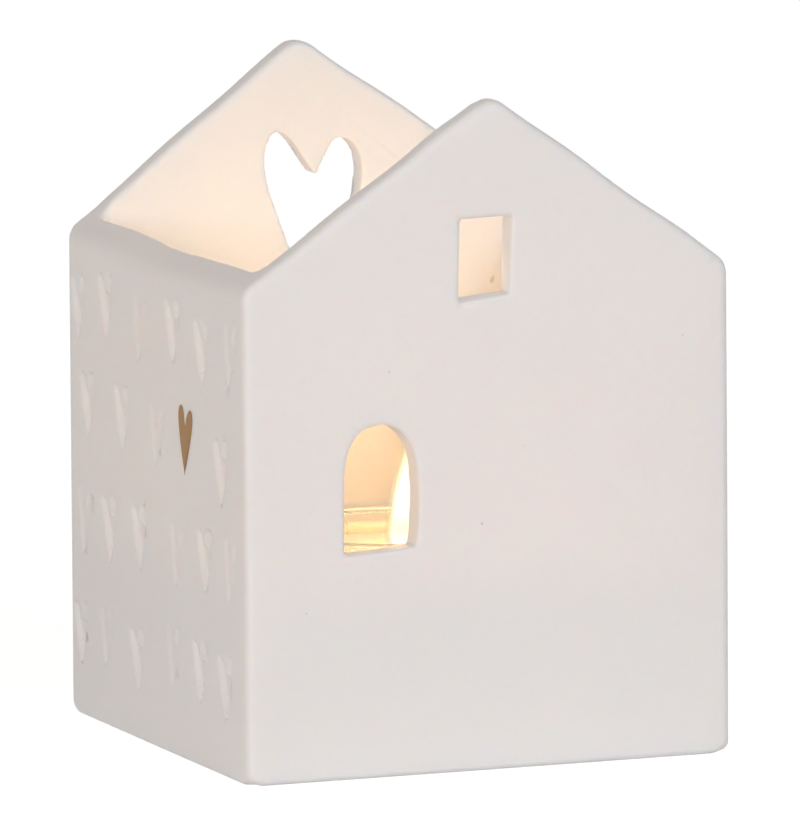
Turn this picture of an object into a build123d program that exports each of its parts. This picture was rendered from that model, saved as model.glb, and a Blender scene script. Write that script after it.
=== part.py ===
from build123d import *
from math import acos, atan2, cos, radians, sin
import os

# Tealight house: an open-roofed house of slip-cast bisque porcelain on a hollow base. A raised
# floor with a round well holds a tealight, so that its flame burns behind the arched window.
# Millimetres, +Z up, the front gable faces -Y, and the origin is the middle of the footprint.

# House, outside
house_width = 80.0
house_depth = 78.0
eave_height = 76.3
ridge_height = 104.9
wall = 4.2
ridge_radius = 3.6
soft_radius = 1.5
rim_radius = 1.0
inner_corner_radius = 2.0

# Raised floor and its well
floor_height = 30.0
floor_thickness = 4.0
floor_cove_radius = 1.2
well_clearance = 1.0
well_wall = 4.0
well_lip_radius = 0.8
cup_above_floor = 2.5

# Arched window, left of the middle of the front wall
arch_width = 12.3
arch_height = 19.7
arch_sill_height = 34.9
arch_offset = -17.3

# Square window, hung below the front ridge
square_width = 8.2
square_height = 12.4
square_top_drop = 19.3
square_offset = -0.1

# How far both windows narrow inwards, in degrees
window_draft = 4.0

# Heart cut through the back gable, hung below its ridge
cut_heart_width = 16.1
cut_heart_height = 28.8
cut_heart_lobe_radius = 2.7
cut_heart_notch = 6.3
cut_heart_top_drop = 15.8
cut_heart_offset = -0.1
cut_heart_valley_radius = 0.9

# Hearts stamped into the side walls, one of them gilded
stamp_width = 6.2
stamp_height = 10.3
stamp_lobe_radius = 1.05
stamp_notch = 3.0
stamp_depth = 0.7
stamp_draft = 20.0
gilding_thickness = 0.3
gilding_recess = 0.15
gilding_fit = 0.05

# Tealight cup
cup_diameter = 38.0
cup_height = 16.0
cup_sheet = 0.3
cup_rim_bead = 1.0
cup_taper = 0.5
cup_corner_radius = 1.2
cup_panel_diameter = 26.0
cup_panel_rise = 0.6

# Wax, wick and sustainer
wax_below_rim = 4.0
wax_dish = 0.4
wax_fit = 0.05
wick_diameter = 1.4
wick_exposed = 6.0
wick_curl_radius = 5.0
wick_curl_angle = 42.0
wick_fit = 0.03
sustainer_diameter = 15.0
sustainer_sheet = 0.3
sustainer_neck_height = 3.5
sustainer_neck_sheet = 0.4

# How far cuts run past the faces that they open
overrun = 5.0

# How much the flanks of every heart swell from straight lines, in degrees at the lobes
heart_swell_angle = 6.0

# Places of the hearts on a side wall, seen from outside. Each heart has the share of the depth
# from the middle towards the right, the share of the eave height of its own middle, and the
# lean of its tip to the right in degrees.
left_heart_shares = (
    (-0.440, 0.849, 3), (-0.282, 0.871, 4), (-0.087, 0.847, -9),
    (0.096, 0.870, 3), (0.259, 0.850, 4), (0.417, 0.867, -8),
    (-0.390, 0.653, 4), (-0.192, 0.653, 5), (0.004, 0.643, -7), (0.362, 0.623, 3),
    (-0.410, 0.407, -5), (-0.267, 0.411, 3), (-0.097, 0.422, 5),
    (0.113, 0.413, -8), (0.268, 0.426, 4), (0.410, 0.422, -9),
    (-0.447, 0.172, 2), (-0.288, 0.186, -6), (-0.112, 0.166, 6),
    (0.090, 0.202, -6), (0.238, 0.194, 2), (0.379, 0.183, 5),
)
right_heart_shares = (
    (-0.425, 0.858, -6), (-0.262, 0.846, 4), (-0.090, 0.868, 3),
    (0.088, 0.850, -8), (0.270, 0.866, 4), (0.432, 0.851, 3),
    (-0.396, 0.640, 4), (-0.230, 0.655, -7), (-0.062, 0.638, 5),
    (0.110, 0.652, 3), (0.266, 0.636, -8), (0.410, 0.650, 2),
    (-0.410, 0.424, 3), (-0.262, 0.410, 5), (-0.098, 0.425, -7),
    (0.086, 0.411, 4), (0.262, 0.422, -6), (0.414, 0.409, 3),
    (-0.404, 0.186, -8), (-0.240, 0.172, 3), (-0.086, 0.190, 4),
    (0.096, 0.174, 5), (0.264, 0.192, -7), (0.418, 0.178, 2),
)
gilded_heart_shares = ((0.171, 0.656, 1),)

# Sizes and planes that follow
half_width = house_width / 2
half_depth = house_depth / 2
room_width = house_width - 2 * wall
room_depth = house_depth - 2 * wall
hollow_height = floor_height - floor_thickness
well_radius = cup_diameter / 2 + well_clearance
well_depth = cup_height - cup_above_floor
well_floor_height = floor_height - well_depth
front_face = Plane.XZ.offset(half_depth)
back_face = Plane.XZ.offset(-half_depth)
left_face = Plane(origin=(-half_width, 0, 0), x_dir=(0, -1, 0), z_dir=(-1, 0, 0))
right_face = Plane(origin=(half_width, 0, 0), x_dir=(0, 1, 0), z_dir=(1, 0, 0))


def contact_angle(point, centre, radius, side):
    """Angle on a circle where the line from an outside point touches it, on one side (1 or -1)."""
    across = centre[0] - point[0]
    along = centre[1] - point[1]
    distance = (across**2 + along**2) ** 0.5
    return atan2(-along, -across) + side * acos(radius / distance)


def on_circle(centre, radius, angle):
    return (centre[0] + radius * cos(angle), centre[1] + radius * sin(angle))


def heart(width, height, lobe_radius, notch, valley_radius=0):
    """A heart on its tip, its middle at the origin: round lobes, a notch and swelling flanks."""
    tip = (0, -height / 2)
    valley = (0, height / 2 - notch)
    lobe = (width / 2 - lobe_radius, height / 2 - lobe_radius)
    flank_angle = contact_angle(tip, lobe, lobe_radius, 1) + radians(heart_swell_angle)
    flank_start = on_circle(lobe, lobe_radius, flank_angle)
    crown = (lobe[0], lobe[1] + lobe_radius)
    inside = on_circle(lobe, lobe_radius, contact_angle(valley, lobe, lobe_radius, -1))
    with BuildSketch() as outline:
        with BuildLine():
            TangentArc(flank_start, tip, tangent=(sin(flank_angle), -cos(flank_angle)))
            ThreePointArc(flank_start, crown, inside)
            Line(inside, valley)
            mirror(about=Plane.YZ)
        make_face()
        if valley_radius:
            fillet(vertices().sort_by_distance((*valley, 0))[0], valley_radius)
    return outline.sketch


def stamp(inset=0):
    """The stamped heart, or a heart that lies inside it by an inset all round."""
    return heart(
        stamp_width - 2 * inset,
        stamp_height - 2 * inset,
        stamp_lobe_radius - inset,
        stamp_notch,
    )


def heart_places(shares):
    """Places of stamped hearts on the plane of a side wall."""
    return [
        Location((along * house_depth, rise * eave_height, 0), (0, 0, lean))
        for along, rise, lean in shares
    ]


cut_heart = heart(
    cut_heart_width,
    cut_heart_height,
    cut_heart_lobe_radius,
    cut_heart_notch,
    cut_heart_valley_radius,
)
stamped_heart = stamp()
gilded_heart = stamp(gilding_fit)

# House shell: four walls with two gables and no roof, the raised floor, its well, and the
# hollow base, which is open underneath
with BuildPart() as house_shell:
    with BuildSketch(Plane.XZ):
        with BuildLine():
            Polyline(
                (-half_width, 0),
                (half_width, 0),
                (half_width, eave_height),
                (0, ridge_height),
                (-half_width, eave_height),
                close=True,
            )
        make_face()
        fillet(vertices().group_by(Axis.Y)[-1], ridge_radius)
    extrude(amount=half_depth, both=True)
    ridge_seams = edges().filter_by(Axis.Y).group_by(Axis.Z)[-1]
    fillet(edges() - ridge_seams, soft_radius)

    # room above the raised floor, open at the roof
    with BuildSketch(Plane.XY.offset(floor_height)):
        RectangleRounded(room_width, room_depth, inner_corner_radius)
    extrude(amount=ridge_height, mode=Mode.SUBTRACT)
    inside_of_rim = edges(Select.LAST).filter_by_position(Axis.Z, eave_height, ridge_height)
    fillet(inside_of_rim, rim_radius)
    room_floor = faces().filter_by(Plane.XY).group_by(Axis.Z)[-1]
    fillet(room_floor.edges(), floor_cove_radius)

    # hollow base
    with BuildSketch():
        RectangleRounded(room_width, room_depth, inner_corner_radius)
    extrude(amount=hollow_height, mode=Mode.SUBTRACT)

    # well, a pot that hangs into the hollow base
    with BuildSketch(Plane.XY.offset(well_floor_height - floor_thickness)):
        Circle(well_radius + well_wall)
    extrude(amount=well_depth)
    with Locations((0, 0, floor_height)):
        Hole(well_radius, depth=well_depth)
    well_lip = edges(Select.LAST).group_by(Axis.Z)[-1]
    fillet(well_lip, well_lip_radius)

    # windows
    with BuildSketch(front_face):
        with Locations((arch_offset, arch_sill_height)):
            Rectangle(arch_width, arch_height - arch_width / 2, align=(Align.CENTER, Align.MIN))
        with Locations((arch_offset, arch_sill_height + arch_height - arch_width / 2)):
            Circle(arch_width / 2)
        with Locations((square_offset, ridge_height - square_top_drop)):
            Rectangle(square_width, square_height, align=(Align.CENTER, Align.MAX))
    extrude(amount=-(wall + overrun), taper=window_draft, mode=Mode.SUBTRACT)
    with BuildSketch(back_face):
        cut_heart_middle = ridge_height - cut_heart_top_drop - cut_heart_height / 2
        with Locations((cut_heart_offset, cut_heart_middle)):
            add(cut_heart)
    extrude(amount=wall + overrun, mode=Mode.SUBTRACT)

    # stamped hearts, and the shallower one for the gilding
    for face, shares in ((left_face, left_heart_shares), (right_face, right_heart_shares)):
        with BuildSketch(face):
            with Locations(*heart_places(shares)):
                add(stamped_heart)
        extrude(amount=-stamp_depth, taper=stamp_draft, mode=Mode.SUBTRACT)
    with BuildSketch(left_face):
        with Locations(*heart_places(gilded_heart_shares)):
            add(stamped_heart)
    extrude(amount=-(gilding_recess + gilding_thickness), mode=Mode.SUBTRACT)

# Gilding of one heart on the left wall
with BuildPart() as gold_heart:
    with BuildSketch(left_face.offset(-gilding_recess)):
        with Locations(*heart_places(gilded_heart_shares)):
            add(gilded_heart)
    extrude(amount=-gilding_thickness)

# Tealight cup: formed from clear sheet, with a raised base panel, a rounded foot and a beaded rim
cup_top = well_floor_height + cup_height
cup_top_radius = (cup_diameter - cup_rim_bead) / 2
cup_foot_radius = cup_top_radius - cup_taper
cup_inner_floor = well_floor_height + cup_sheet
panel_radius = cup_panel_diameter / 2
panel_top = cup_inner_floor + cup_panel_rise
with BuildPart() as tealight_cup:
    with BuildSketch(Plane.XZ):
        with BuildLine():
            Polyline(
                (0, well_floor_height + cup_panel_rise),
                (panel_radius, well_floor_height + cup_panel_rise),
                (panel_radius + cup_panel_rise, well_floor_height),
                (cup_foot_radius, well_floor_height),
                (cup_top_radius, cup_top - cup_rim_bead / 2),
                (0, cup_top - cup_rim_bead / 2),
                close=True,
            )
        make_face()
        with BuildLine():
            Polyline(
                (0, panel_top),
                (panel_radius, panel_top),
                (panel_radius + cup_panel_rise, cup_inner_floor),
                (cup_foot_radius - cup_sheet, cup_inner_floor),
                (cup_top_radius - cup_sheet, cup_top),
                (0, cup_top),
                close=True,
            )
        make_face(mode=Mode.SUBTRACT)
        inner_corner = (cup_foot_radius - cup_sheet, cup_inner_floor, 0)
        fillet(vertices().sort_by_distance(inner_corner)[0], cup_corner_radius - cup_sheet)
        outer_corner = (cup_foot_radius, well_floor_height, 0)
        fillet(vertices().sort_by_distance(outer_corner)[0], cup_corner_radius)
        with Locations((cup_top_radius, cup_top - cup_rim_bead / 2)):
            Circle(cup_rim_bead / 2)
    revolve(axis=Axis.Z)

# Wick sustainer: a disc on the cup's base panel, with a neck crimped round the wick
wick_radius = wick_diameter / 2
neck_bore = wick_radius + wick_fit
neck_radius = neck_bore + sustainer_neck_sheet
disc_radius = sustainer_diameter / 2
disc_top = panel_top + sustainer_sheet
neck_top = panel_top + sustainer_neck_height
with BuildPart() as wick_sustainer:
    with BuildSketch(Plane.XY.offset(panel_top)):
        Circle(disc_radius)
    extrude(amount=sustainer_sheet)
    with BuildSketch(Plane.XY.offset(panel_top)):
        Circle(neck_radius)
    extrude(amount=sustainer_neck_height)
    with Locations((0, 0, neck_top)):
        Hole(neck_bore)

# Wax: fills the cup to below its rim and dishes towards the wick, round the sustainer
wax_top = cup_top - wax_below_rim
wax_middle = wax_top - wax_dish
wax_foot_radius = cup_foot_radius - cup_sheet - wax_fit
wax_top_radius = wax_foot_radius + cup_taper * (wax_top - cup_inner_floor) / cup_height
with BuildPart() as wax:
    with BuildSketch(Plane.XZ):
        with BuildLine():
            Polyline(
                (neck_bore, wax_middle),
                (neck_bore, neck_top + wax_fit),
                (neck_radius + wax_fit, neck_top + wax_fit),
                (neck_radius + wax_fit, disc_top + wax_fit),
                (disc_radius + wax_fit, disc_top + wax_fit),
                (disc_radius + wax_fit, panel_top),
                (panel_radius, panel_top),
                (panel_radius + cup_panel_rise, cup_inner_floor),
                (wax_foot_radius, cup_inner_floor),
                (wax_top_radius, wax_top),
            )
            TangentArc((neck_bore, wax_middle), (wax_top_radius, wax_top), tangent=(1, 0))
        make_face()
        wax_foot = (wax_foot_radius, cup_inner_floor, 0)
        fillet(vertices().sort_by_distance(wax_foot)[0], cup_corner_radius)
    revolve(axis=Axis.Z)

# Wick: braided cotton, upright in the wax, its charred end curled towards +X
curl_start_height = wax_middle + wick_exposed - wick_curl_radius * sin(radians(wick_curl_angle))
with BuildPart() as wick:
    with BuildLine(Plane.XZ):
        Line((0, panel_top), (0, curl_start_height))
        JernArc((0, curl_start_height), (0, 1), wick_curl_radius, -wick_curl_angle)
    with BuildSketch(Plane.XY.offset(panel_top)):
        Circle(wick_radius)
    sweep()

pieces = {
    "house_shell": house_shell,
    "gold_heart": gold_heart,
    "tealight_cup": tealight_cup,
    "wick_sustainer": wick_sustainer,
    "wax": wax,
    "wick": wick,
}
os.makedirs("parts", exist_ok=True)
for name, piece in pieces.items():
    piece.part.label = name
    export_step(piece.part, f"parts/{name}.step")
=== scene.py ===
"""The looks of the tealight house: hand-made porcelain shell, gilded heart, burning tealight.

The shell is a signed distance field in millimetres, negative inside the porcelain. It has the
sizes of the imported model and, over them, what a hand does to wet clay: an uneven roof line,
sponged edges and stamps that were pressed in at a slant. The meshes, the lights and the camera
are in metres, as the frame is.
"""

from math import cos, pi, radians, sin

import bpy
import numpy as np
import openvdb
from mathutils import Matrix, Vector


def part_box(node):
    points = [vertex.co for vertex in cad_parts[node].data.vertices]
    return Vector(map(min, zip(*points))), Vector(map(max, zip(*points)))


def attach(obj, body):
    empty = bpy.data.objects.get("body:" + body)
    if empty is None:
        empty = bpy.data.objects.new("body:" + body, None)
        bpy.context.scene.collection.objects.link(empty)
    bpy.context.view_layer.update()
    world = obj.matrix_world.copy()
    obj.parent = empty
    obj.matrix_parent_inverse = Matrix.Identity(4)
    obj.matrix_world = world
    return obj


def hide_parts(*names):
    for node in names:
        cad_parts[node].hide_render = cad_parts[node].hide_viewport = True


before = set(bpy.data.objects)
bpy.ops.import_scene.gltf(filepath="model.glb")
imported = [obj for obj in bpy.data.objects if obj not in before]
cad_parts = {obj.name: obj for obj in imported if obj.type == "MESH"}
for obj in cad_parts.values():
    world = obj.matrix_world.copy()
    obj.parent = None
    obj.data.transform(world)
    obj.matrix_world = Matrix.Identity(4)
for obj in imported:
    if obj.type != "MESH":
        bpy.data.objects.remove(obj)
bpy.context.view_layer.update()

MM = 0.001

# Camera, in metres and degrees, for a frame that is 800 pixels wide and 835 high
camera_place = (-1.1732, -3.0430, 0.5539)
camera_yaw = 21.093
camera_pitch = 8.794
camera_roll = -0.409
camera_lens = 918.2
camera_sensor = 36.0
camera_near = 0.1
camera_far = 50.0

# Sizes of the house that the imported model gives
_, house_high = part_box("house_shell")
half_width = house_high.x / MM
half_depth = house_high.y / MM

# House, in millimetres
wall = 4.2
corner_radius = 1.4
soft_radius = 1.3
rim_radius = 0.9
foot_radius = 0.9
inner_corner_radius = 2.0
floor_height = 30.0
floor_thickness = 4.0
cove_radius = 1.2
well_radius = 20.0
well_floor_height = 16.5
well_wall = 4.0
well_lip_radius = 0.8

# Roof line: the apex's place across and its height, then the height over each eave, front and back
front_apex_x = 0.9
back_apex_x = -2.4
front_apex_height = 104.9
back_apex_height = 104.8
left_eave_front = 76.3
left_eave_back = 76.3
right_eave_front = 76.6
right_eave_back = 75.2
ridge_blend = 3.6

# About the cosine of the roof's slope. It turns a height over the roof into a distance from it
roof_slope_cosine = 0.81

# How far the left rim sags below the roof line, from the front to the back, each with its place
left_rim_places = (-39, -30, -16, -5, 3, 11, 19, 28, 34, 37, 39)
left_rim_sags = (0, 0.1, 0.5, 1.1, 1.2, 0.9, 0.7, 0.8, 0.9, 0.5, 0)

# How far the right rim sags in its middle, and the power that makes this sag flat there
right_rim_sag = 0.9
right_rim_flatness = 4

# Width, inside the walls, over which both sags fade out on the gables
rim_sag_fade = 3.0

# How far the front gable dips beside its apex, from left to right, each with its place
apex_dip_places = (-9, -6, -4.4, -2.4, -0.2, 0.9, 2.6)
apex_dips = (0, 0.2, 0.44, 0.6, 0.58, 0.2, 0)

# Depths behind the front at which that dip begins to fade and has ended
apex_dip_fade = 4.0
apex_dip_end = 8.0

# Waves that the hand left: the height of each kind, then the length over which it turns by one
# radian and its start in radians, across, along and up
roof_wave = 0.25
roof_wave_across = (6.1, 0.8)
roof_wave_along = (23, 0.4)
roof_ripple = 0.15
roof_ripple_across = 2.9
roof_ripple_along = 11
wall_wave = 0.1
side_wave_along = (19, 1.0)
side_wave_up = (27, 0.4)
end_wave_across = (21, 2.0)
end_wave_up = (24, 1.1)

# Corners of the foot: how far they are worn up, over how much of each side
foot_corner_lift = 1.1
foot_corner_reach = 3.2

# Arched window, cut by hand: points on its outline, across and up, and the sill that ends it
arch_points = (
    (-23.6, 20.0), (-23.6, 30.0), (-23.55, 42.0), (-23.15, 49.4), (-21.0, 53.5), (-17.2, 54.75),
    (-14.4, 53.65), (-12.15, 50.5), (-11.35, 45.5), (-11.4, 40.0), (-11.9, 34.0), (-12.4, 20.0),
)
arch_sill_height = 35.15
arch_sill_middle = -17.5
arch_sill_slope = 0.07
arch_sill_corner_radius = 0.5

# Square window, cut by hand: its corners on the front wall, across and up, outside and inside
square_corners = ((-4.55, 72.85), (3.62, 73.8), (4.30, 85.85), (-4.20, 85.7))
inner_square_corners = ((-4.50, 73.15), (3.86, 73.85), (4.02, 85.8), (-4.20, 85.65))

# Edges of the windows outside and inside, the depths up to which and from which these hold,
# and how much the arch closes in per millimetre of depth
window_edge_radius = 0.55
inner_edge_radius = 0.3
window_edge_depth = 1
inner_edge_depth = 3
arch_draft = 0.06

# Back gable, inside: a crease that the clay kept and a smear under it, as lines across and up,
# how far each stands out, and the distances from its line between which it fades
crease = ((5.3, 91.2), (13.6, 84.4))
crease_height = 0.14
crease_fade = (0, 0.6)
smear = ((29.7, 65.0), (29.5, 63.6))
smear_height = 0.2
smear_fade = (0.1, 0.7)

# How far before the gable's inner face these marks begin and are whole, and how far before its
# outer face they fade and end
marks_begin = 1.5
marks_whole = 0.5
marks_fade = 2
marks_end = 1

# Heart cut through the back gable by hand: points on its outline, across and up
cut_heart_points = (
    (0.0, 60.2), (-1.9, 65.6), (-6.3, 77.2), (-7.9, 82.4), (-8.1, 87.0), (-6.6, 89.75),
    (-4.2, 88.8), (-1.5, 85.1), (0.2, 82.9), (1.5, 85.1), (3.3, 88.05), (5.6, 88.1),
    (7.6, 85.4), (7.7, 80.8), (5.9, 73.2), (1.9, 63.9),
)

# Pinholes in the front wall, in metres: the place and the radius of each. They are not cut into the
# mesh; the porcelain is painted darker there as painted shade in the pits
pinholes = (
    (-0.0161, -0.039, 0.0629, 0.0003),
    (-0.0116, -0.039, 0.0704, 0.0002),
    (-0.0300, -0.039, 0.0264, 0.0002),
    (-0.0011, -0.039, 0.0385, 0.0003),
    (0.0060, -0.039, 0.0501, 0.0002),
    (0.0322, -0.039, 0.0657, 0.0002),
)

# Dark spots in the smear, as the pinholes are given, and the share of a radius that is darkest
smear_spots = (
    (0.0297, 0.0348, 0.0648, 0.0004),
    (0.0296, 0.0348, 0.0645, 0.0005),
    (0.0295, 0.0348, 0.0642, 0.0004),
)
spot_core_share = 0.3

# Stamped hearts, their outline: the lobes are arcs, in degrees, from the notch outwards. The
# fullest place of a flank is given as shares of the width and the height
stamp_width = 6.2
stamp_height = 10.3
stamp_lobe_radius = 1.05
stamp_lobe_start = 150
stamp_lobe_end = -12
stamp_lobe_steps = 9
stamp_notch = 3.0
stamp_flank_shares = (0.3, -0.06)

# Stamped hearts, their depth and the width of their slanted flanks. Both change towards the tip
# and towards the right side, seen from outside, which went in deepest
stamp_depth = 0.85
stamp_depth_share_at_tip = 1.25
stamp_depth_share_at_right = 1.25
stamp_flank_at_top = 0.75
stamp_flank_at_tip = 0.45
stamp_flank_share_at_right = 0.35

# Stamped hearts: the depth that is left to those that lean left, where a flank begins in shares
# of its width, and how far into the wall the stamps fade out
stamp_weak_share = 0.4
stamp_flank_start = -0.2
stamp_fade = 1

# Places of the hearts on a side wall, seen from outside: the share of the depth from the middle
# towards the right, the share of the eave height, and the lean of the tip to the right in degrees
eave_height = 76.0
left_heart_shares = (
    (-0.440, 0.849, 3), (-0.282, 0.871, 4), (-0.087, 0.847, -9),
    (0.096, 0.870, 3), (0.259, 0.850, 4), (0.417, 0.867, -8),
    (-0.390, 0.653, 4), (-0.192, 0.653, 5), (0.004, 0.643, -7), (0.362, 0.623, 3),
    (-0.410, 0.407, -5), (-0.267, 0.411, 3), (-0.097, 0.422, 5),
    (0.113, 0.413, -8), (0.268, 0.426, 4), (0.410, 0.422, -9),
    (-0.436, 0.172, 2), (-0.288, 0.186, -6), (-0.112, 0.166, 6),
    (0.090, 0.202, -6), (0.238, 0.194, 2), (0.379, 0.183, 5),
)
right_heart_shares = (
    (-0.425, 0.858, -6), (-0.262, 0.846, 4), (-0.090, 0.868, 3),
    (0.088, 0.850, -8), (0.270, 0.866, 4), (0.432, 0.851, 3),
    (-0.396, 0.640, 4), (-0.230, 0.655, -7), (-0.062, 0.638, 5),
    (0.110, 0.652, 3), (0.266, 0.636, -8), (0.410, 0.650, 2),
    (-0.410, 0.424, 3), (-0.262, 0.410, 5), (-0.098, 0.425, -7),
    (0.086, 0.411, 4), (0.262, 0.422, -6), (0.414, 0.409, 3),
    (-0.404, 0.186, -8), (-0.240, 0.172, 3), (-0.086, 0.190, 4),
    (0.096, 0.174, 5), (0.264, 0.192, -7), (0.418, 0.178, 2),
)

# Gilded heart: points on its outline on the left wall, along the wall from the middle and up,
# then how far its front and back are from the middle of the house
gilded_heart_points = (
    (12.78, 45.3), (11.25, 49.4), (10.40, 53.3), (10.75, 55.0), (11.75, 55.5), (12.55, 54.6),
    (13.20, 52.2), (14.05, 54.1), (15.25, 55.1), (16.15, 54.6), (16.20, 52.6), (14.75, 48.8),
    (12.96, 45.3), (12.87, 44.9),
)
gilding_front = 39.98
gilding_back = 39.60

# Points on a smooth outline for each one that is given
outline_steps = 6
gilding_outline_steps = 4

# Grid of the distance field: its step and the room around the house, the steps on each side of
# the surface that hold a distance, and how readily flat parts of the mesh are merged
grid_step = 0.42
grid_margin = 3.0
grid_band_steps = 3
mesh_adaptivity = 0.01

# Wick, in metres and degrees: straight up from its foot, then a curl
wick_low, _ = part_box("wick")
wick_radius = 0.00068
wick_length = 0.01702
wick_straight = 0.01335
wick_curl_radius = 0.005
wick_curl_angle = 42

# Braid of the wick: strands, their turn in radians per metre, and how near to the middle the
# grooves between them come. The burnt end tapers from a share of the length on
wick_strands = 3
wick_strand_turn = 5200
wick_groove_share = 0.84
wick_taper = 0.28
wick_taper_start = 0.82
wick_sides = 30
wick_bands = 90

# Flame, in metres: its foot, its tip, and the heights of its light and of the glow over it
flame_low = 0.0287
flame_high = 0.0482
flame_light_height = 0.0375
flame_halo_height = 0.072

# Flame from its foot to its tip: shares of its height, then its lean and radius in millimetres
flame_shares = (0, 0.03, 0.12, 0.30, 0.45, 0.60, 0.77, 0.90, 1)
flame_leans = (0.3, 0.5, 1.0, 2.05, 2.35, 2.55, 2.85, 3.05, 3.2)
flame_radii = (0, 1.2, 2.0, 2.4, 2.2, 1.7, 1.0, 0.45, 0)
flame_rings = 40
flame_sides = 32

# Shells of the flame: how far each swells in millimetres, its strength and how much of it shows
flame_shells = (
    ("flame", 0, 3.2, 1.0),
    ("flame_edge", 0.45, 1.6, 0.45),
    ("flame_haze", 1.0, 1.0, 0.3),
)

# Colours of the flame from its foot to its tip, each with its share of the height
flame_colours = (
    (0.0, (0.75, 0.62, 0.55, 1)),
    (0.18, (1.0, 0.72, 0.38, 1)),
    (0.4, (1.0, 0.86, 0.6, 1)),
    (0.72, (1.0, 0.80, 0.45, 1)),
    (1.0, (1.0, 0.55, 0.16, 1)),
)

# Lamps of the flame: their size in metres, then the power in watts and the colour of each
flame_lamp_size = 0.003
flame_light_power = 0.0198
flame_light_colour = (1.0, 0.590, 0.218)
flame_halo_power = 0.0023
flame_halo_colour = (1.0, 0.96, 0.92)

# Colours of the materials
porcelain_colours = ((0.885, 0.872, 0.86, 1), (0.895, 0.882, 0.87, 1))
# Painted shade for the pinholes, also the colour of the dark spots in the smear
pit_shade_and_spot_colour = (0.66, 0.62, 0.58, 1)
gilding_colours = ((0.315, 0.157, 0.036, 1), (0.38, 0.197, 0.048, 1))
plastic_colour = (0.93, 0.93, 0.92, 1)
tinplate_colour = (0.68, 0.68, 0.67, 1)
molten_wax_colour = (0.97, 0.96, 0.92, 1)
solid_wax_colour = (0.97, 0.965, 0.94, 1)
cotton_colour = (0.62, 0.52, 0.36, 1)
char_colour = (0.012, 0.010, 0.009, 1)
ember_colour = (1.0, 0.25, 0.04, 1)
floor_colour = (0.84, 0.83, 0.82, 1)
white = (1, 1, 1, 1)

# Values between which a noise mostly lies, and a softer reach for the porcelain's clouds
noise_span = (0.3, 0.7)
cloud_span = (0.35, 0.65)

# Places at which a look changes, in metres: the cup's bead, the char and the ember by height,
# and the edge of the molten wax by its distance from the axis, with how far it wanders
bead_heights = (0.0321, 0.0323)
char_heights = (0.0288, 0.0305)
ember_heights = (0.0334, 0.0344)
ember_strength = 6.0
molten_edge = (0.0165, 0.0172)
molten_edge_wander = 0.003

# Clear sheet: its Fresnel values where it faces the eye and at its folds, how much of it shows
# at each, and how much of the bead shows
sheet_fresnel = (0.03, 0.5)
sheet_alphas = (0.10, 0.75)
bead_alpha = 0.92

# Floor: half its side in metres, then how bright it looks from its own light and from the lamps
floor_reach = 3
floor_glow = 0.90
floor_lit_colour = (0.35, 0.35, 0.35, 1)

# Soft light around the house: its colour at heights from the horizon, where 1 is straight up
ring_colours = (
    (0.0, (0.048, 0.049, 0.044, 1)),
    (0.4, (0.715, 0.682, 0.640, 1)),
    (0.8, (0, 0, 0, 1)),
)

# Studio lamps: place and size in metres, power in watts and colour, and the place they aim at
studio_lamps = (
    ("front_light", (0.796, -1.708, 1.319), 0.6, 13.6, (0.875, 0.91, 1.0)),
    ("side_light", (-1.591, -1.591, 0.478), 0.8, 19.5, (1.0, 0.90, 0.862)),
)
lamp_aim = (0, 0, 0.05)


def ramp(value, low, high):
    """0 at low and 1 at high, with a smooth start and end."""
    share = np.clip((value - low) / (high - low), 0, 1)
    return share * share * (3 - 2 * share)


def phase(place, wave):
    """How far a wave has turned at a place, from its length and its start."""
    length, start = wave
    return place / length + start


def round_max(a, b, radius):
    """Distance to what two shapes share, with a rounded edge."""
    inside = np.minimum(np.maximum(a, b), -radius)
    return inside + np.hypot(np.maximum(a + radius, 0), np.maximum(b + radius, 0))


def cut(solid, hole, radius):
    return round_max(solid, -hole, radius)


def smooth_min(a, b, blend):
    share = np.clip(0.5 + 0.5 * (b - a) / blend, 0, 1)
    return b + (a - b) * share - blend * share * (1 - share)


def rounded_rectangle(x, y, half_x, half_y, radius):
    over_x = np.abs(x) - half_x + radius
    over_y = np.abs(y) - half_y + radius
    outside = np.hypot(np.maximum(over_x, 0), np.maximum(over_y, 0))
    return outside + np.minimum(np.maximum(over_x, over_y), 0) - radius


def outline_distance(points, x, y):
    """Distance to a closed outline of straight lines, negative inside."""
    nearest = np.full(np.broadcast(x, y).shape, np.inf, np.float32)
    inside = np.zeros(nearest.shape, bool)
    for (ax, ay), (bx, by) in zip(points, points[1:] + points[:1]):
        run_x, run_y = bx - ax, by - ay
        share = np.clip(((x - ax) * run_x + (y - ay) * run_y) / (run_x**2 + run_y**2), 0, 1)
        away = np.hypot(x - ax - share * run_x, y - ay - share * run_y)
        nearest = np.minimum(nearest, away)
        if run_y:
            crosses = (ay > y) != (by > y)
            inside ^= crosses & (x < ax + (y - ay) * run_x / run_y)
    return np.where(inside, -nearest, nearest)


def smooth_outline(points, steps):
    """A closed curve through points, as a list of points on it."""
    count = len(points)
    curve = []
    for i in range(count):
        before, start, end, after = (np.array(points[(i + k) % count]) for k in (-1, 0, 1, 2))
        for share in np.arange(steps) / steps:
            curve.append(tuple(
                start
                + share * (end - before) / 2
                + share**2 * (before - 2.5 * start + 2 * end - after / 2)
                + share**3 * (1.5 * (start - end) + (after - before) / 2)
            ))
    return curve


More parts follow.
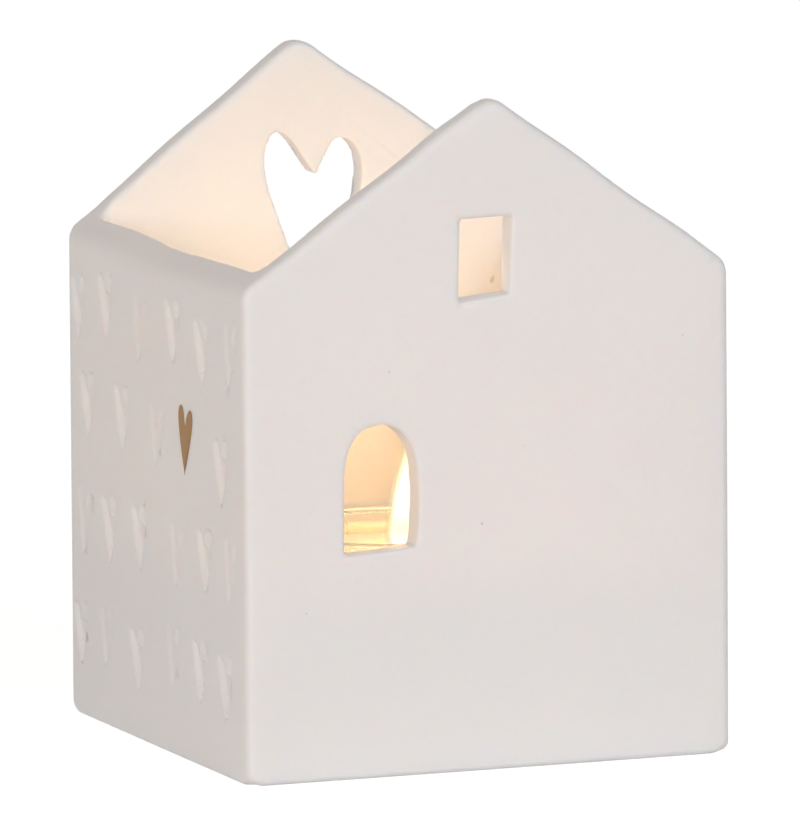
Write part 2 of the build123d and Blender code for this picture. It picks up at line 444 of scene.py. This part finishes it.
def stamp_outline():
    """The stamp: a heart on its tip, its middle at the origin, with a notch and full flanks."""
    lobe_x = stamp_width / 2 - stamp_lobe_radius
    lobe_y = stamp_height / 2 - stamp_lobe_radius
    half = [(0, stamp_height / 2 - stamp_notch)]
    for turn in np.linspace(radians(stamp_lobe_start), radians(stamp_lobe_end), stamp_lobe_steps):
        lobe_reach_x = stamp_lobe_radius * cos(turn)
        lobe_reach_y = stamp_lobe_radius * sin(turn)
        half.append((lobe_x + lobe_reach_x, lobe_y + lobe_reach_y))
    across_share, up_share = stamp_flank_shares
    half.append((stamp_width * across_share, stamp_height * up_share))
    half.append((0, -stamp_height / 2))
    left = [(-x, y) for x, y in reversed(half[1:-1])]
    return half + left


def roof_height(x, y):
    """Height of the roof line over a place, as the hand left it."""
    back = (y + half_depth) / (2 * half_depth)
    apex_x = front_apex_x + (back_apex_x - front_apex_x) * back
    apex = front_apex_height + (back_apex_height - front_apex_height) * back
    left_eave = left_eave_front + (left_eave_back - left_eave_front) * back
    left = left_eave + (x + half_width) * (apex - left_eave) / (apex_x + half_width)
    right_eave = right_eave_front + (right_eave_back - right_eave_front) * back
    right = right_eave + (half_width - x) * (apex - right_eave) / (half_width - apex_x)

    inside_wall = half_width - wall
    between_gables = 1 - np.abs(2 * back - 1) ** right_rim_flatness
    left_sag = np.interp(y, left_rim_places, left_rim_sags)
    left_sag = left_sag * ramp(-x, inside_wall - rim_sag_fade, inside_wall)
    right_sag = right_rim_sag * between_gables
    right_sag = right_sag * ramp(x, inside_wall - rim_sag_fade, inside_wall)

    wave = roof_wave * np.sin(phase(x, roof_wave_across)) * np.cos(phase(y, roof_wave_along))
    ripple = roof_ripple * np.sin(x / roof_ripple_across + y / roof_ripple_along)
    dip = np.interp(x, apex_dip_places, apex_dips)
    dip = dip * ramp(-y, half_depth - apex_dip_end, half_depth - apex_dip_fade)
    return smooth_min(left, right, ridge_blend) - left_sag - right_sag - dip + (wave + ripple)


def stamps(shares, along, up):
    """Depth of the stamped hearts over a side wall, seen from outside."""
    outline = stamp_outline()
    pressed = np.zeros(np.broadcast(along, up).shape, np.float32)
    for place, rise, lean in shares:
        turn = radians(lean)
        u = along - place * 2 * half_depth
        v = up - rise * eave_height
        across = u * cos(turn) + v * sin(turn)
        upright = v * cos(turn) - u * sin(turn)
        inside = -outline_distance(outline, across, upright)
        top_share = ramp(upright, -stamp_height / 2, stamp_height / 2)
        right_share = ramp(across, -stamp_width / 2, stamp_width / 2)
        flank = stamp_flank_at_tip + (stamp_flank_at_top - stamp_flank_at_tip) * top_share
        flank = flank * (1 - (1 - stamp_flank_share_at_right) * right_share)
        depth = stamp_depth * (1 - (1 - stamp_depth_share_at_tip) * (1 - top_share))
        depth = depth * (1 - (1 - stamp_depth_share_at_right) * right_share)
        strength = 1.0 if lean > 0 else stamp_weak_share
        pressed = np.maximum(pressed, strength * depth * ramp(inside / flank, stamp_flank_start, 1))
    return pressed


def whole_block(x, y, z):
    """Distance to the house as if it were solid, with its roof line and its worn foot."""
    wave_x = wall_wave * np.sin(phase(y, side_wave_along)) * np.sin(phase(z, side_wave_up))
    wave_y = wall_wave * np.sin(phase(x, end_wave_across)) * np.sin(phase(z, end_wave_up))
    half_x = half_width - wall_wave
    half_y = half_depth - wall_wave
    block = rounded_rectangle(x + wave_x, y + wave_y, half_x, half_y, corner_radius)
    block = round_max(block, (z - roof_height(x, y)) * roof_slope_cosine, soft_radius)
    worn = foot_corner_lift * ramp(np.abs(x), half_width - foot_corner_reach, half_width)
    worn = worn * ramp(np.abs(y), half_depth - foot_corner_reach, half_depth)
    return round_max(block, worn - z, foot_radius)


def hollowed(solid, x, y, z):
    """The block with its room, the well in its floor, and the hollow round the well below."""
    room_plan = rounded_rectangle(x, y, half_width - wall, half_depth - wall, inner_corner_radius)
    room = round_max(room_plan, floor_height - z, cove_radius)
    solid = cut(solid, room, rim_radius)

    from_axis = np.hypot(x, y)
    pot_side = from_axis - well_radius - well_wall
    pot = round_max(pot_side, well_floor_height - well_wall - z, soft_radius)
    hollow = round_max(room_plan, z - floor_height + floor_thickness, soft_radius)
    solid = cut(solid, cut(hollow, pot, soft_radius), rim_radius)
    well = round_max(from_axis - well_radius, well_floor_height - z, rim_radius)
    return cut(solid, well, well_lip_radius)


def with_windows(solid, x, y, z):
    """The house with its arch and square cut through the front, and its heart through the back."""
    into_wall = y + half_depth
    outside_share = ramp(-into_wall, -inner_edge_depth, -window_edge_depth)
    edge = inner_edge_radius + (window_edge_radius - inner_edge_radius) * outside_share
    arch = outline_distance(smooth_outline(arch_points, outline_steps), x, z)
    arch = arch + arch_draft * into_wall
    sill = arch_sill_height + arch_sill_slope * (x - arch_sill_middle)
    arch = round_max(arch, sill - z, arch_sill_corner_radius)
    solid = cut(solid, np.maximum(arch, y), edge)

    square = outline_distance(square_corners, x, z)
    inner_square = outline_distance(inner_square_corners, x, z)
    square = square + (inner_square - square) * into_wall / wall
    solid = cut(solid, np.maximum(square, y), edge)

    heart = outline_distance(smooth_outline(cut_heart_points, outline_steps), x, z)
    return cut(solid, np.maximum(heart, -y), inner_edge_radius)


def gable_marks(x, y, z):
    """How far the crease and the smear stand out inside the back gable."""
    inner_face = half_depth - wall
    shown = ramp(y, inner_face - marks_begin, inner_face - marks_whole)
    shown = shown * ramp(-y, marks_end - half_depth, marks_fade - half_depth)
    marks = crease_height * (1 - ramp(outline_distance(crease, x, z), *crease_fade))
    marks = marks + smear_height * (1 - ramp(outline_distance(smear, x, z), *smear_fade))
    return marks * shown


def porcelain_field(x, y, z):
    """Signed distance to the house shell. x, y and z are the grid's axes, ready to be combined."""
    solid = whole_block(x, y, z)
    solid = hollowed(solid, x, y, z)
    solid = with_windows(solid, x, y, z)
    solid = solid - gable_marks(x, y, z)

    left = stamps(left_heart_shares, -y, z)
    right = stamps(right_heart_shares, y, z)
    skin = half_width - wall / 2
    solid = solid + left * ramp(-x, skin - stamp_fade, skin)
    return solid + right * ramp(x, skin - stamp_fade, skin)


def sampled(field, places):
    """The field between its grid points, at places given in grid steps."""
    corner = np.clip(np.floor(places).astype(int), 0, np.array(field.shape) - 2)
    share = places - corner
    total = 0
    for i in (0, 1):
        for j in (0, 1):
            for k in (0, 1):
                weight = np.abs(1 - np.array((i, j, k)) - share).prod(axis=1)
                total = total + weight * field[corner[:, 0] + i, corner[:, 1] + j, corner[:, 2] + k]
    return total


def mesh_object(name, points, faces):
    mesh = bpy.data.meshes.new(name)
    mesh.from_pydata(points, [], faces)
    mesh.shade_smooth()
    made = bpy.data.objects.new(name, mesh)
    bpy.context.scene.collection.objects.link(made)
    return made


def tube_faces(bands, sides):
    """Faces between rings of points, a band of them from each ring to the next."""
    faces = []
    for band in range(bands):
        for i in range(sides):
            a = band * sides + i
            b = band * sides + (i + 1) % sides
            faces.append((a, b, b + sides, a + sides))
    return faces


def field_object(name, field, low):
    """The surface of a distance field as a mesh, with the field's own normals."""
    band = grid_band_steps * grid_step
    grid = openvdb.FloatGrid(band)
    grid.copyFromArray(np.clip(field, -band, band))
    points, triangles, quads = grid.convertToPolygons(0.0, mesh_adaptivity)
    half_steps = np.eye(3) / 2
    slopes = [sampled(field, points + step) - sampled(field, points - step) for step in half_steps]
    slopes = np.stack(slopes, axis=1)
    normals = slopes / np.linalg.norm(slopes, axis=1, keepdims=True)
    places = (points * grid_step + low) * MM
    a, b, c = (places[quads[:, k]] for k in (0, 1, 2))
    facing = np.einsum("ij,ij->i", np.cross(b - a, c - b), normals[quads[:, 0]])
    if facing.mean() < 0:
        triangles, quads = triangles[:, ::-1], quads[:, ::-1]
    made = mesh_object(name, places.tolist(), triangles.tolist() + quads.tolist())
    made.data.normals_split_custom_set_from_vertices(normals.tolist())
    return made


def make_house():
    low = np.array([-half_width - grid_margin, -half_depth - grid_margin, -grid_margin])
    high = np.array([half_width, half_depth, front_apex_height]) + grid_margin
    axes = [np.arange(a, b, grid_step, dtype=np.float32) for a, b in zip(low, high)]
    x, y, z = np.meshgrid(*axes, indexing="ij", sparse=True)
    field = porcelain_field(x, y, z).astype(np.float32)
    house = field_object("porcelain_house", field, low)
    house.data.materials.append(porcelain())
    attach(house, "house")
    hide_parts("house_shell")


def make_gilded_heart():
    """The lustre as a thin plate, level with the wall."""
    outline = smooth_outline(gilded_heart_points, gilding_outline_steps)
    count = len(outline)
    points = [
        (-depth * MM, -along * MM, up * MM)
        for depth in (gilding_front, gilding_back)
        for along, up in outline
    ]
    faces = [tuple(range(count)), tuple(reversed(range(count, 2 * count)))]
    for i in range(count):
        following = (i + 1) % count
        faces.append((i, i + count, following + count, following))
    heart = mesh_object("gilded_heart", points, faces)
    heart.data.shade_flat()
    heart.data.materials.append(gilding())
    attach(heart, "house")
    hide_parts("gold_heart")


class Tree:
    """A node tree, and short ways to add nodes to it."""

    def __init__(self, tree):
        self.nodes = tree.nodes
        self.links = tree.links

    def feed(self, socket, value):
        """Link another node's output to a socket, or set the socket to a plain value."""
        if isinstance(value, bpy.types.NodeSocket):
            self.links.new(value, socket)
        else:
            socket.default_value = value

    def node(self, kind, **inputs):
        made = self.nodes.new("ShaderNode" + kind)
        for key, value in inputs.items():
            self.feed(made.inputs[key.replace("_", " ")], value)
        return made

    def calculate(self, kind, operation, *values):
        """The outputs of a Math or VectorMath node that works on values."""
        made = self.node(kind)
        made.operation = operation
        for socket, value in zip(made.inputs, values):
            self.feed(socket, value)
        return made.outputs

    def colours_along(self, share, stops):
        """A colour for a share, from stops that each give a share and its colour."""
        made = self.node("ValToRGB", Fac=share)
        elements = made.color_ramp.elements
        first, *between, last = stops
        elements[0].position, elements[0].color = first
        elements[1].position, elements[1].color = last
        for position, colour in between:
            elements.new(position).color = colour
        return made.outputs["Color"]

    def either_shader(self, share, first, second):
        """The first shader where share is 0, and the second where it is 1."""
        made = self.node("MixShader", Fac=share)
        self.feed(made.inputs[1], first)
        self.feed(made.inputs[2], second)
        return made.outputs[0]

    def seen_or_reflected(self):
        """1 for the rays that show the background: to the eye, in a reflection or through glass."""
        path = self.node("LightPath")
        found = path.outputs["Is Camera Ray"]
        for kind in ("Is Glossy Ray", "Is Transmission Ray"):
            found = self.calculate("Math", "MAXIMUM", found, path.outputs[kind])[0]
        return found


class Look(Tree):
    """A material with one Principled shader."""

    def __init__(self, name):
        self.material = bpy.data.materials.new(name)
        self.material.use_nodes = True
        super().__init__(self.material.node_tree)
        self.shader = self.nodes["Principled BSDF"]
        self.output = self.nodes["Material Output"]

    def set(self, **values):
        for key, value in values.items():
            self.feed(self.shader.inputs[key.replace("_", " ")], value)

    def show(self, shader):
        self.feed(self.output.inputs["Surface"], shader)

    def place(self):
        return self.node("TexCoord").outputs["Object"]

    def height(self):
        return self.node("SeparateXYZ", Vector=self.place()).outputs["Z"]

    def noise(self, scale, detail=3.0, roughness=0.5, place=None):
        place = place or self.place()
        made = self.node("TexNoise", Vector=place, Scale=scale, Detail=detail, Roughness=roughness)
        return made.outputs["Fac"]

    def ramp(self, value, low, high, to_low=0.0, to_high=1.0):
        made = self.node("MapRange")
        for socket, given in zip(made.inputs, (value, low, high, to_low, to_high)):
            self.feed(socket, given)
        return made.outputs["Result"]

    def mix(self, share, first, second):
        made = self.node("Mix")
        made.data_type = "RGBA"
        sockets = [s for s in made.inputs if s.enabled]
        for socket, given in zip(sockets, (share, first, second)):
            self.feed(socket, given)
        return next(s for s in made.outputs if s.enabled)

    def bump(self, height, distance, strength):
        made = self.node("Bump", Height=height, Distance=distance, Strength=strength)
        return made.outputs["Normal"]


def porcelain():
    """Matt white that lets some light in, with painted shade in its pinholes and the dark spots in
    the smear.
    """
    look = Look("bisque_porcelain")
    cloud = look.noise(scale=28.0, detail=4.0)
    grain = look.noise(scale=1400.0, roughness=0.6)
    colour = look.mix(look.ramp(cloud, *cloud_span), *porcelain_colours)
    place = look.place()
    # Pinholes get painted shade, the smear its dark spots, in one colour
    for *middle, radius in pinholes + smear_spots:
        away = look.calculate("VectorMath", "DISTANCE", place, middle)["Value"]
        clear_of_spot = look.ramp(away, radius * spot_core_share, radius)
        colour = look.mix(clear_of_spot, pit_shade_and_spot_colour, colour)
    look.set(
        Base_Color=colour,
        Roughness=look.ramp(grain, *noise_span, to_low=0.34, to_high=0.46),
        Normal=look.bump(grain, distance=0.00004, strength=0.35),
        Subsurface_Weight=0.45,
        Subsurface_Radius=(1.0, 0.66, 0.48),
        Subsurface_Scale=0.0045,
        Specular_IOR_Level=0.3,
    )
    return look.material


def gilding():
    look = Look("gold_lustre")
    wear = look.noise(scale=900.0, detail=4.0)
    look.set(
        Base_Color=look.mix(look.ramp(wear, *noise_span), *gilding_colours),
        Roughness=look.ramp(wear, *noise_span, to_low=0.42, to_high=0.55),
        Metallic=0.4,
    )
    return look.material


def clear_plastic():
    """Clear sheet: seen through where it faces the eye, whiter at its folds, milky at its bead."""
    look = Look("clear_polycarbonate")
    dents = look.noise(scale=160.0, detail=2.0)
    turned_away = look.node("Fresnel", IOR=1.45).outputs[0]
    sheet_alpha = look.ramp(turned_away, *sheet_fresnel, *sheet_alphas)
    look.set(
        Base_Color=plastic_colour,
        Alpha=look.ramp(look.height(), *bead_heights, sheet_alpha, bead_alpha),
        Roughness=0.12,
        Normal=look.bump(dents, distance=0.0004, strength=0.25),
        Subsurface_Weight=1.0,
        Subsurface_Radius=(1.0, 1.0, 1.0),
        Subsurface_Scale=0.001,
    )
    return look.material


def tinplate():
    look = Look("tinplate")
    scuffs = look.noise(scale=1500.0)
    look.set(
        Base_Color=tinplate_colour,
        Roughness=look.ramp(scuffs, *noise_span, to_low=0.25, to_high=0.45),
        Metallic=1.0,
    )
    return look.material


def paraffin():
    """Wax that is molten and glossy in the middle, and solid near the cup."""
    look = Look("paraffin_wax")
    place = look.place()
    flat = look.calculate("VectorMath", "MULTIPLY", place, (1, 1, 0))[0]
    from_axis = look.calculate("VectorMath", "LENGTH", flat)["Value"]
    ripple = look.noise(scale=220.0, detail=2.0, place=place)
    edge = look.calculate("Math", "MULTIPLY_ADD", ripple, molten_edge_wander, from_axis)[0]
    solid_share = look.ramp(edge, *molten_edge)
    look.set(
        Base_Color=look.mix(solid_share, molten_wax_colour, solid_wax_colour),
        Roughness=look.ramp(solid_share, 0, 1, to_low=0.06, to_high=0.42),
        Normal=look.bump(ripple, distance=0.0006, strength=0.15),
        Subsurface_Weight=1.0,
        Subsurface_Radius=(1.0, 0.75, 0.45),
        Subsurface_Scale=0.004,
    )
    return look.material


def cotton():
    """Cotton that is charred above the wax and glows at its end."""
    look = Look("charred_cotton")
    height = look.height()
    fibres = look.noise(scale=2600.0, detail=4.0, roughness=0.6)
    look.set(
        Base_Color=look.mix(look.ramp(height, *char_heights), cotton_colour, char_colour),
        Roughness=0.85,
        Normal=look.bump(fibres, distance=0.0002, strength=0.8),
        Emission_Color=ember_colour,
        Emission_Strength=look.ramp(height, *ember_heights, 0.0, ember_strength),
    )
    return look.material


def flame_glow(name, strength, shown):
    """The light of the flame, of which only a share is shown."""
    look = Look(name)
    share = look.ramp(look.height(), flame_low, flame_high)
    colour = look.colours_along(share, flame_colours)
    glow = look.node("Emission", Color=colour, Strength=strength).outputs[0]
    nothing = look.node("BsdfTransparent").outputs[0]
    look.show(look.either_shader(shown, nothing, glow))
    return look.material


def turned(name, profile, sides, axis):
    """A closed turned form.

    The profile gives a height and a radius for each ring, from bottom to top. The axis gives the
    middle of a height.
    """
    points = []
    for height, radius in profile[1:-1]:
        middle = axis(height)
        for i in range(sides):
            turn = 2 * pi * i / sides
            points.append((middle.x + radius * cos(turn), middle.y + radius * sin(turn), height))
    bands = len(profile) - 3
    faces = tube_faces(bands, sides)
    bottom, top = len(points), len(points) + 1
    points += [tuple(axis(profile[0][0])), tuple(axis(profile[-1][0]))]
    last = bands * sides
    for i in range(sides):
        following = (i + 1) % sides
        faces.append((bottom, following, i))
        faces.append((top, last + i, last + following))
    return mesh_object(name, points, faces)


def flame_axis(height):
    share = (height - flame_low) / (flame_high - flame_low)
    return Vector((np.interp(share, flame_shares, flame_leans) * MM, 0, height))


def make_flame():
    """The flame and its soft edge, which light nothing themselves. Only its core is reflected."""
    for name, swell, strength, shown in flame_shells:
        profile = []
        for share in np.linspace(0, 1, flame_rings):
            radius = float(np.interp(share, flame_shares, flame_radii))
            profile.append((flame_low + (flame_high - flame_low) * share, (radius + swell) * MM))
        flame = turned(name, profile, flame_sides, flame_axis)
        flame.data.materials.append(flame_glow(name, strength, shown))
        flame.visible_shadow = False
        flame.visible_diffuse = False
        flame.visible_glossy = name == "flame"
        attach(flame, "tealight")


def make_flame_lamps():
    """The lamp at the flame's heart and a faint one for the glow over it."""
    halo_place = Vector((0, 0, flame_halo_height))
    for name, place, power, colour in (
        ("flame_light", flame_axis(flame_light_height), flame_light_power, flame_light_colour),
        ("flame_halo", halo_place, flame_halo_power, flame_halo_colour),
    ):
        lamp = bpy.data.lights.new(name, "POINT")
        lamp.energy = power
        lamp.color = colour
        lamp.shadow_soft_size = flame_lamp_size
        light = bpy.data.objects.new(name, lamp)
        light.location = place
        bpy.context.scene.collection.objects.link(light)
        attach(light, "tealight")


def wick_line(distance):
    """The middle of the wick and its direction, at a distance from its foot."""
    if distance < wick_straight:
        return Vector((0, 0, wick_low.z + distance)), Vector((0, 0, 1))
    turn = min((distance - wick_straight) / wick_curl_radius, radians(wick_curl_angle))
    across = wick_curl_radius * (1 - cos(turn))
    height = wick_low.z + wick_straight + wick_curl_radius * sin(turn)
    return Vector((across, 0, height)), Vector((sin(turn), 0, cos(turn)))


def make_wick():
    """A braided wick: strands round each other, thinner where it burns."""
    points = []
    for ring in range(wick_bands + 1):
        share = ring / wick_bands
        distance = wick_length * share
        middle, ahead = wick_line(distance)
        side = Vector((ahead.z, 0, -ahead.x))
        burnt_share = max(0, (share - wick_taper_start) / (1 - wick_taper_start))
        radius = wick_radius * (1 - wick_taper * burnt_share ** 2)
        for i in range(wick_sides):
            turn = 2 * pi * i / wick_sides
            strand = abs(cos(wick_strands / 2 * (turn - wick_strand_turn * distance)))
            reach = radius * (wick_groove_share + (1 - wick_groove_share) * strand)
            sideways = Vector((0, reach * sin(turn), 0))
            points.append(tuple(middle + side * reach * cos(turn) + sideways))
    faces = tube_faces(wick_bands, wick_sides)
    faces.append(tuple(reversed(range(wick_sides))))
    faces.append(tuple(range(wick_bands * wick_sides, (wick_bands + 1) * wick_sides)))
    wick = mesh_object("braided_wick", points, faces)
    wick.data.materials.append(cotton())
    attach(wick, "tealight")
    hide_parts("wick")


def dress(node, look):
    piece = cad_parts[node]
    piece.data.materials.clear()
    piece.data.materials.append(look)


def make_floor():
    """A floor that takes shadows, and is nearly white where it is seen."""
    corners = ((-1, -1), (1, -1), (1, 1), (-1, 1))
    points = [(x * floor_reach, y * floor_reach, 0) for x, y in corners]
    floor = mesh_object("floor", points, [(0, 1, 2, 3)])
    look = Look("studio_floor")
    look.set(Base_Color=floor_colour, Roughness=0.9)
    seen = look.node("AddShader")
    look.feed(seen.inputs[0], look.node("BsdfDiffuse", Color=floor_lit_colour).outputs[0])
    look.feed(seen.inputs[1], look.node("Emission", Color=white, Strength=floor_glow).outputs[0])
    shader = look.shader.outputs[0]
    look.show(look.either_shader(look.seen_or_reflected(), shader, seen.outputs[0]))
    floor.data.materials.append(look.material)


def make_world():
    """White where it is seen. As light, it is a soft ring around the house."""
    world = bpy.data.worlds.new("studio")
    bpy.context.scene.world = world
    world.use_nodes = True
    tree = Tree(world.node_tree)
    direction = tree.node("TexCoord").outputs["Generated"]
    height = tree.node("SeparateXYZ", Vector=direction).outputs["Z"]
    light = tree.nodes["Background"]
    tree.feed(light.inputs["Color"], tree.colours_along(height, ring_colours))
    backdrop = tree.node("Background", Color=white)
    shown = tree.either_shader(tree.seen_or_reflected(), light.outputs[0], backdrop.outputs[0])
    tree.feed(tree.nodes["World Output"].inputs["Surface"], shown)


def make_studio_lamps():
    for name, place, size, power, colour in studio_lamps:
        lamp = bpy.data.lights.new(name, "AREA")
        lamp.size = size
        lamp.energy = power
        lamp.color = colour
        made = bpy.data.objects.new(name, lamp)
        made.location = place
        aim = Vector(lamp_aim) - Vector(place)
        made.rotation_euler = aim.to_track_quat("-Z", "Y").to_euler()
        bpy.context.scene.collection.objects.link(made)


def make_camera():
    camera = bpy.data.objects.new("camera", bpy.data.cameras.new("camera"))
    camera.data.lens = camera_lens
    camera.data.sensor_width = camera_sensor
    camera.data.clip_start = camera_near
    camera.data.clip_end = camera_far
    camera.matrix_world = (
        Matrix.Translation(camera_place)
        @ Matrix.Rotation(-radians(camera_yaw), 4, "Z")
        @ Matrix.Rotation(radians(90 - camera_pitch), 4, "X")
        @ Matrix.Rotation(radians(camera_roll), 4, "Z")
    )
    bpy.context.scene.collection.objects.link(camera)
    bpy.context.scene.camera = camera


make_camera()
make_world()
make_floor()
make_studio_lamps()

make_house()
make_gilded_heart()
dress("tealight_cup", clear_plastic())
dress("wick_sustainer", tinplate())
dress("wax", paraffin())
make_wick()
make_flame()
make_flame_lamps()

bpy.context.scene.view_settings.view_transform = "Standard"
